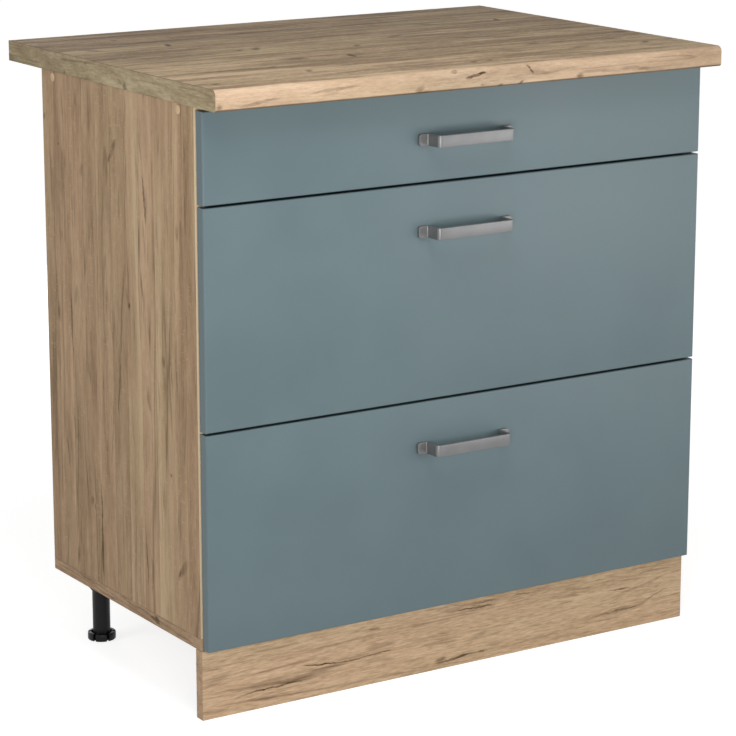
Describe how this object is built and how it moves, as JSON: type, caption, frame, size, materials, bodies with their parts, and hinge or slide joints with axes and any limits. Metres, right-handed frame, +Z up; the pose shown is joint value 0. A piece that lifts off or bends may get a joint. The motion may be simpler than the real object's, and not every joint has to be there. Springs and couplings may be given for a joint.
{
  "type": "base cabinet with drawers",
  "caption": "Kitchen base cabinet with wide drawers on telescopic runners, strap handles, an overhanging worktop with a rounded front edge, a plinth board and levelling legs.",
  "frame": {"origin": "on the floor, in the middle of the worktop's length and depth", "axes": "+X to the right seen from the front, +Y to the back, +Z up; the drawers pull out towards -Y"},
  "size_m": [0.802, 0.585, 0.8423],
  "materials": {
    "worktop_oak": "oak laminate, satin, grain along the worktop",
    "carcass_oak": "oak-faced chipboard, satin",
    "plinth_oak": "oak-faced chipboard, satin, grain along the board",
    "back_board": "thin hardboard, matt",
    "front_foil": "blue-grey foil on board, smooth, satin",
    "white_board": "white faced chipboard, fine grain",
    "white_hardboard": "white hardboard, matt",
    "nickel": "brushed nickel",
    "zinc_steel": "bright zinc-plated sheet",
    "black_plastic": "moulded, slightly shiny",
    "cap_beige": "moulded, matt"
  },
  "bodies": {
    "cabinet": {"worktop": "worktop_oak", "left_side_panel": "carcass_oak", "right_side_panel": "carcass_oak", "bottom_panel": "carcass_oak", "back_panel": "back_board", "front_top_rail": "carcass_oak", "rear_top_rail": "carcass_oak", "plinth_board": "plinth_oak", "left_plinth_clip": "black_plastic", "right_plinth_clip": "black_plastic", "front_left_leg": "black_plastic", "front_right_leg": "black_plastic", "rear_left_leg": "black_plastic", "rear_right_leg": "black_plastic", "left_front_screw_cap": "cap_beige", "left_rear_screw_cap": "cap_beige", "right_front_screw_cap": "cap_beige", "right_rear_screw_cap": "cap_beige", "lower_left_cabinet_rail": "zinc_steel", "lower_right_cabinet_rail": "zinc_steel", "middle_left_cabinet_rail": "zinc_steel", "middle_right_cabinet_rail": "zinc_steel", "upper_left_cabinet_rail": "zinc_steel", "upper_right_cabinet_rail": "zinc_steel"},
    "lower_drawer": {"lower_drawer_front": "front_foil", "lower_handle": "nickel", "lower_drawer_left_side": "white_board", "lower_drawer_right_side": "white_board", "lower_drawer_back": "white_board", "lower_drawer_bottom": "white_hardboard", "lower_left_drawer_rail": "zinc_steel", "lower_right_drawer_rail": "zinc_steel"},
    "lower_left_middle_member": {"lower_left_middle_rail": "zinc_steel"},
    "lower_right_middle_member": {"lower_right_middle_rail": "zinc_steel"},
    "middle_drawer": {"middle_drawer_front": "front_foil", "middle_handle": "nickel", "middle_drawer_left_side": "white_board", "middle_drawer_right_side": "white_board", "middle_drawer_back": "white_board", "middle_drawer_bottom": "white_hardboard", "middle_left_drawer_rail": "zinc_steel", "middle_right_drawer_rail": "zinc_steel"},
    "middle_left_middle_member": {"middle_left_middle_rail": "zinc_steel"},
    "middle_right_middle_member": {"middle_right_middle_rail": "zinc_steel"},
    "upper_drawer": {"upper_drawer_front": "front_foil", "upper_handle": "nickel", "upper_drawer_left_side": "white_board", "upper_drawer_right_side": "white_board", "upper_drawer_back": "white_board", "upper_drawer_bottom": "white_hardboard", "upper_left_drawer_rail": "zinc_steel", "upper_right_drawer_rail": "zinc_steel"},
    "upper_left_middle_member": {"upper_left_middle_rail": "zinc_steel"},
    "upper_right_middle_member": {"upper_right_middle_rail": "zinc_steel"},
    "front_left_levelling_foot": {"front_left_foot": "black_plastic"},
    "front_right_levelling_foot": {"front_right_foot": "black_plastic"},
    "rear_left_levelling_foot": {"rear_left_foot": "black_plastic"},
    "rear_right_levelling_foot": {"rear_right_foot": "black_plastic"}
  },
  "joints": [
    {"name": "lower_drawer_slide", "type": "slide", "parent": "cabinet", "child": "lower_drawer", "axis": [0, -1, 0], "range_m": [0, 0.4]},
    {"name": "lower_left_middle_rail_slide", "type": "slide", "parent": "cabinet", "child": "lower_left_middle_member", "axis": [0, -1, 0], "range_m": [0, 0.2]},
    {"name": "lower_right_middle_rail_slide", "type": "slide", "parent": "cabinet", "child": "lower_right_middle_member", "axis": [0, -1, 0], "range_m": [0, 0.2]},
    {"name": "middle_drawer_slide", "type": "slide", "parent": "cabinet", "child": "middle_drawer", "axis": [0, -1, 0], "range_m": [0, 0.4]},
    {"name": "middle_left_middle_rail_slide", "type": "slide", "parent": "cabinet", "child": "middle_left_middle_member", "axis": [0, -1, 0], "range_m": [0, 0.2]},
    {"name": "middle_right_middle_rail_slide", "type": "slide", "parent": "cabinet", "child": "middle_right_middle_member", "axis": [0, -1, 0], "range_m": [0, 0.2]},
    {"name": "upper_drawer_slide", "type": "slide", "parent": "cabinet", "child": "upper_drawer", "axis": [0, -1, 0], "range_m": [0, 0.4]},
    {"name": "upper_left_middle_rail_slide", "type": "slide", "parent": "cabinet", "child": "upper_left_middle_member", "axis": [0, -1, 0], "range_m": [0, 0.2]},
    {"name": "upper_right_middle_rail_slide", "type": "slide", "parent": "cabinet", "child": "upper_right_middle_member", "axis": [0, -1, 0], "range_m": [0, 0.2]},
    {"name": "front_left_foot_turn", "type": "hinge", "parent": "cabinet", "child": "front_left_levelling_foot", "pos_m": [-0.358, -0.1885, 0], "axis": [0, 0, -1], "range_deg": [0, 3600]},
    {"name": "front_right_foot_turn", "type": "hinge", "parent": "cabinet", "child": "front_right_levelling_foot", "pos_m": [0.358, -0.1885, 0], "axis": [0, 0, -1], "range_deg": [0, 3600]},
    {"name": "rear_left_foot_turn", "type": "hinge", "parent": "cabinet", "child": "rear_left_levelling_foot", "pos_m": [-0.358, 0.1325, 0], "axis": [0, 0, -1], "range_deg": [0, 3600]},
    {"name": "rear_right_foot_turn", "type": "hinge", "parent": "cabinet", "child": "rear_right_levelling_foot", "pos_m": [0.358, 0.1325, 0], "axis": [0, 0, -1], "range_deg": [0, 3600]}
  ],
  "couplings": [
    {"joint": "lower_left_middle_rail_slide", "follows": "lower_drawer_slide", "ratio": 0.5},
    {"joint": "lower_right_middle_rail_slide", "follows": "lower_drawer_slide", "ratio": 0.5},
    {"joint": "middle_left_middle_rail_slide", "follows": "middle_drawer_slide", "ratio": 0.5},
    {"joint": "middle_right_middle_rail_slide", "follows": "middle_drawer_slide", "ratio": 0.5},
    {"joint": "upper_left_middle_rail_slide", "follows": "upper_drawer_slide", "ratio": 0.5},
    {"joint": "upper_right_middle_rail_slide", "follows": "upper_drawer_slide", "ratio": 0.5}
  ]
}
